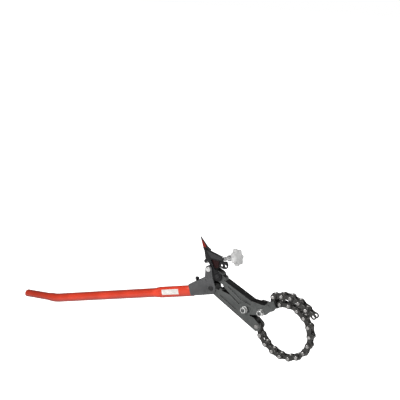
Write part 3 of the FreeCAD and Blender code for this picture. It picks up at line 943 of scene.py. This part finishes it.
KNOB_START = 96.0
KNOB_FULLER = 1.1
KNOB_DEEPER = 1.3
KNOB_LOBES = 7
KNOB_LOBE = 2.6
KNOB_HUB = [(-2.4, 8.1, 0.0), (-2.4, 8.9, 0.0), (-1.8, 9.3, 0.0), (-0.5, 9.4, 0.0)]
KNOB_HEAD = [
    (0.1, 11.0, 0.1),
    (0.3, 14.2, 0.55),
    (0.9, 17.0, 0.8),
    (2.2, 18.6, 0.95),
    (4.4, 19.3, 1.0),
    (7.6, 19.3, 1.0),
    (9.8, 18.6, 0.95),
    (11.1, 17.0, 0.8),
    (11.8, 14.4, 0.55),
    (12.0, 12.4, 0.2),
    (11.9, 10.6, 0.0),
    (12.0, 9.4, 0.0),
    (12.5, 7.4, 0.0),
    (12.8, 4.4, 0.0),
    (12.9, 0.01, 0.0),
]


def knob_mesh():
    """Rounded lobes with a hub behind and a low crown in front; each row is (t, radius, lobes)."""
    segments = 168
    rows = KNOB_HUB + [(t * KNOB_DEEPER, r * KNOB_FULLER, lobes * KNOB_FULLER) for t, r, lobes in KNOB_HEAD]
    rings = []
    for t, r, lobes in rows:
        ring = []
        for i in range(segments):
            a = 2 * math.pi * i / segments
            radius = r + lobes * KNOB_LOBE * math.cos(KNOB_LOBES * a)
            ring.append(Vector((radius * math.cos(a), KNOB_START + t, radius * math.sin(a))) * MM)
        rings.append(ring)
    return grid_mesh("knob", rings, closed_ends=True, smooth_angle=50)


def build_knob():
    there = along(SCREW_AXIS, SCREW_START)
    obj = new_object("lobed_hand_knob", merged("knob_mesh", [(knob_mesh(), there)]))
    dress(obj, KNOB, "star_knob")


# ---------------------------------------------------------------- handle tube

TUBE_SLOPE = math.radians(14)
END_SLOPE = math.radians(4)
BEND = Vector((-665, 0, -109))
BEND_RADIUS = 140.0
TUBE_R = 12.7
TUBE_WALL = 3.2
END_TALL = 10.7
END_CHANGE = 25.0
OVAL_TALL = 15.5
OVAL_WIDE = 9.4
OVAL_START = -302.0
OVAL_CHANGE = 26.0
SOCKET_MOUTH = -172.0
SOCKET_DEPTH = -133.5
SOCKET_TALL = 10.0
PATCH_SPAN = (-270.0, -214.0)
PATCH_TURN = (-112.0, -56.0)


def slope_vec(a):
    return Vector((math.cos(a), 0, math.sin(a)))


def on_tube(x):
    """The middle of the straight part of the tube at an X, in mm."""
    return Vector((x, 0, BEND.z + (x - BEND.x) * math.tan(TUBE_SLOPE)))


def ease(f):
    return f * f * (3 - 2 * f)


def free_end_stations():
    """The lower free end, which is round again just before the bend, and the bend's start."""
    reach = BEND_RADIUS * math.tan((TUBE_SLOPE - END_SLOPE) / 2)
    start = BEND - slope_vec(END_SLOPE) * reach
    tip_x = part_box("handle_tube")[0].x / MM + END_TALL * math.sin(END_SLOPE)
    length = (start.x - tip_x) / math.cos(END_SLOPE)
    out = []
    for s in (0.0, 1.0, 2.5, 8, 25, 45, 65, 72):
        away = length - s
        if away > END_CHANGE:
            out.append((start - slope_vec(END_SLOPE) * away, END_SLOPE, END_TALL, TUBE_R))
    for i in range(0, 9):
        f = i / 8
        tall = END_TALL + (TUBE_R - END_TALL) * ease(f)
        out.append((start - slope_vec(END_SLOPE) * END_CHANGE * (1 - f), END_SLOPE, tall, TUBE_R))
    return out, start


def tube_stations():
    """(centre, slope, half height, half width) from the free end to the casting, in mm."""
    out, start = free_end_stations()
    centre = start + slope_vec(END_SLOPE + math.pi / 2) * BEND_RADIUS
    for i in range(1, 13):
        a = END_SLOPE + (TUBE_SLOPE - END_SLOPE) * i / 12
        out.append((centre - slope_vec(a + math.pi / 2) * BEND_RADIUS, a, TUBE_R, TUBE_R))
    for x in (-620, -560, -500, -440, -380, -340, -315, OVAL_START):
        out.append((on_tube(x), TUBE_SLOPE, TUBE_R, TUBE_R))
    for i in range(1, 11):
        f = i / 10
        tall = TUBE_R + (OVAL_TALL - TUBE_R) * ease(f)
        wide = TUBE_R - (TUBE_R - OVAL_WIDE) * ease(f)
        out.append((on_tube(OVAL_START + OVAL_CHANGE * f), TUBE_SLOPE, tall, wide))
    for x in (-250, -220, -190, SOCKET_MOUTH - 1):
        out.append((on_tube(x), TUBE_SLOPE, OVAL_TALL, OVAL_WIDE))
    for x in (SOCKET_MOUTH + 1, -160, SOCKET_DEPTH):
        out.append((on_tube(x), TUBE_SLOPE, SOCKET_TALL, OVAL_WIDE))
    return out


def tube_ring(station, shrink, segments=72):
    centre, slope, tall, wide = station
    up = slope_vec(slope + math.pi / 2)
    ring = []
    for i in range(segments):
        a = 2 * math.pi * i / segments
        across = Y * ((wide - shrink) * math.sin(a))
        ring.append((centre + up * ((tall - shrink) * math.cos(a)) + across) * MM)
    return ring


def build_tube():
    stations = tube_stations()
    outer = [tube_ring(s, 0) for s in stations]
    inner = [tube_ring(s, TUBE_WALL) for s in stations]
    first = stations[0]
    ahead = slope_vec(first[1])
    lip = ((0.9, 0.0), (0.25, 0.25), (0.0, 0.9), (0.0, 2.3), (0.25, 2.95), (0.9, TUBE_WALL))
    rim = []
    for depth, shrink in lip:
        rim.append(tube_ring((first[0] + ahead * depth, first[1], first[2], first[3]), shrink))
    back = tube_ring(stations[-1], TUBE_WALL / 2)
    rings = rim[3:] + inner[1:] + [back] + outer[1:][::-1] + rim[:3]
    obj = new_object("bent_handle_tube", grid_mesh("tube", rings, smooth_angle=40, loop=True))
    dress(obj, RED, "handle_tube")


def patch_material():
    """A plain pale film, rubbed through to the red in places."""
    n = Nodes("pale_patch")
    cloud = n.noise(140.0, 4.0)
    colour = n.mix(n.span(cloud, 0.35, 0.7), (0.62, 0.6, 0.57), (0.78, 0.76, 0.73))
    rub = n.span(n.noise(420.0, 5.0, 0.7), 0.6, 0.7, 0.0, 0.55)
    colour = n.mix(rub, colour, (0.5, 0.2, 0.14))
    edge = n.edges(0.0006, 0.03, 0.3)
    colour = n.mix(n.math("MULTIPLY", edge, 0.5), colour, (0.4, 0.34, 0.3))
    n.set(Base_Color=colour, Roughness=n.span(cloud, 0.2, 0.8, 0.35, 0.55, False), Coat_Weight=0.3)
    n.set(Normal=n.bump(n.noise(500.0), 0.15, 0.0001))
    return n.mat


def patch_sheet(lift, rows, cols):
    """A grid of points on the near side of the oval part, lifted off its surface."""
    up = slope_vec(TUBE_SLOPE + math.pi / 2)
    sheet = []
    for i in range(rows + 1):
        centre = on_tube(PATCH_SPAN[0] + (PATCH_SPAN[1] - PATCH_SPAN[0]) * i / rows)
        row = []
        for j in range(cols + 1):
            a = math.radians(PATCH_TURN[0] + (PATCH_TURN[1] - PATCH_TURN[0]) * j / cols)
            across = Y * ((OVAL_WIDE + lift) * math.sin(a))
            row.append((centre + up * ((OVAL_TALL + lift) * math.cos(a)) + across) * MM)
        sheet.append(row)
    return sheet


def build_patch():
    """A plain pale patch that wraps round the near side of the oval part."""
    rows = 24
    cols = 18
    bm = bmesh.new()
    sheets = [patch_sheet(0.05, rows, cols), patch_sheet(0.3, rows, cols)]
    under, over = [[[bm.verts.new(p) for p in row] for row in sheet] for sheet in sheets]
    for i in range(rows):
        for j in range(cols):
            bm.faces.new((over[i][j], over[i + 1][j], over[i + 1][j + 1], over[i][j + 1]))
            bm.faces.new((under[i][j], under[i][j + 1], under[i + 1][j + 1], under[i + 1][j]))
    for i in range(rows):
        for j in (0, cols):
            bm.faces.new((under[i][j], under[i + 1][j], over[i + 1][j], over[i][j]))
    for j in range(cols):
        for i in (0, rows):
            bm.faces.new((under[i][j], over[i][j], over[i][j + 1], under[i][j + 1]))
    obj = new_object("handle_patch", finish_mesh("patch", bm, 35))
    dress(obj, patch_material(), "handle_tube", stands_for=False)


# ---------------------------------------------------------------- castings


CASTINGS = [
    ("hook_jaw_casting", "hook_jaw", 0.9, IRON, "jaw_iron"),
    ("anchor_jaw_casting", "anchor_jaw", 0.8, IRON, "jaw_iron"),
    ("handle_socket_casting", "handle_casting", 0.9, SOCKET_IRON, "jaw_iron"),
    ("tightening_lever_body", "upper_lever", 0.5, LEVER, "lever_black"),
    ("pointed_lever_tip", "lever_red_tip", 0.25, TIP, "tip_red"),
    ("screw_nut_block", "screw_block", 0.6, BLOCK, "block_brown"),
    ("screw_guard_plate", "screw_bracket", 0.6, BLACK, "lever_black"),
    ("socket_lock_screw", "handle_lock_screw", 0.3, BLACK_OXIDE, "black_screw"),
]


def build_castings():
    """The cast and forged pieces, with the edge rounding of each in mm."""
    for name, node, width, material, slot in CASTINGS:
        dress(rounded_copy(name, node, width), material, node)


# ---------------------------------------------------------------- studio

ROOM_LIGHT = 0.34
ROOM_SHINE = 0.2
FLOOR_GLOW = 0.8
FLOOR_DROP = 0.06
FLOOR_HALF = 9.0
CAMERA_AT = (1.42656, -2.30283, 1.02163)
CAMERA_AZIMUTH = 34.385
CAMERA_ELEVATION = 15.070
CAMERA_LENS = 99
LIGHTS = [
    ("key", (-0.9, -2.5, 1.9), (-0.15, 0, 0), 1.1, 75),
    ("side", (2.3, -0.9, 1.5), (0.05, 0, 0), 0.8, 26),
    ("back", (0.6, 1.6, 1.6), (0.05, 0, 0), 0.6, 16),
]


def build_studio():
    floor_z = CAD_BOX[0].z - FLOOR_DROP
    bm = bmesh.new()
    corners = ((-1, -1), (1, -1), (1, 1), (-1, 1))
    bm.faces.new([bm.verts.new((x * FLOOR_HALF, y * FLOOR_HALF, floor_z)) for x, y in corners])
    floor = new_object("studio_floor", finish_mesh("floor", bm))
    n = Nodes("floor_white")
    cloud = n.noise(3.0)
    n.set(Base_Color=n.mix(cloud, (0.90, 0.90, 0.90), (0.93, 0.93, 0.93)))
    n.set(Roughness=0.95, Specular_IOR_Level=0.0)
    seen = n.add("ShaderNodeLightPath").outputs["Is Camera Ray"]
    n.set(Emission_Color=n.mix(cloud, (1.0, 1.0, 1.0), (0.99, 0.99, 0.99)))
    n.set(Emission_Strength=n.math("MULTIPLY", seen, FLOOR_GLOW))
    floor.data.materials.append(n.mat)
    build_world()
    for light in LIGHTS:
        add_area(*light)


def build_world():
    """White to the camera, and a dimmer room to the object, so that dark metal keeps its contrast."""
    world = bpy.data.worlds.new("studio")
    world.use_nodes = True
    tree = world.node_tree
    back = tree.nodes["Background"]
    path = tree.nodes.new("ShaderNodeLightPath")
    level = None
    for output, value in (("Is Glossy Ray", ROOM_SHINE), ("Is Camera Ray", 1.0)):
        step = tree.nodes.new("ShaderNodeMix")
        step.inputs[2].default_value = ROOM_LIGHT
        if level:
            tree.links.new(level, step.inputs[2])
        step.inputs[3].default_value = value
        tree.links.new(path.outputs[output], step.inputs[0])
        level = step.outputs[0]
    tree.links.new(level, back.inputs[1])
    back.inputs[0].default_value = (1.0, 1.0, 1.0, 1)
    bpy.context.scene.world = world


def add_area(name, at, aim, size, power):
    light = bpy.data.lights.new(name, "AREA")
    light.size = size
    light.energy = power
    obj = bpy.data.objects.new(name, light)
    obj.location = at
    obj.rotation_euler = (Vector(aim) - Vector(at)).to_track_quat("-Z", "Y").to_euler()
    bpy.context.scene.collection.objects.link(obj)


def build_camera():
    a = math.radians(CAMERA_AZIMUTH)
    e = math.radians(CAMERA_ELEVATION)
    ahead = Vector((-math.sin(a) * math.cos(e), math.cos(a) * math.cos(e), -math.sin(e)))
    data = bpy.data.cameras.new("camera")
    data.sensor_width = 36
    data.lens = CAMERA_LENS
    data.clip_start = 0.05
    data.clip_end = 50
    cam = bpy.data.objects.new("camera", data)
    cam.location = CAMERA_AT
    cam.rotation_euler = ahead.to_track_quat("-Z", "Y").to_euler()
    bpy.context.scene.collection.objects.link(cam)
    bpy.context.scene.camera = cam


build_chain()
build_fasteners()
build_pins()
build_screw()
build_knob()
build_tube()
build_patch()
build_castings()
build_studio()
build_camera()
bpy.context.scene.view_settings.view_transform = "Standard"
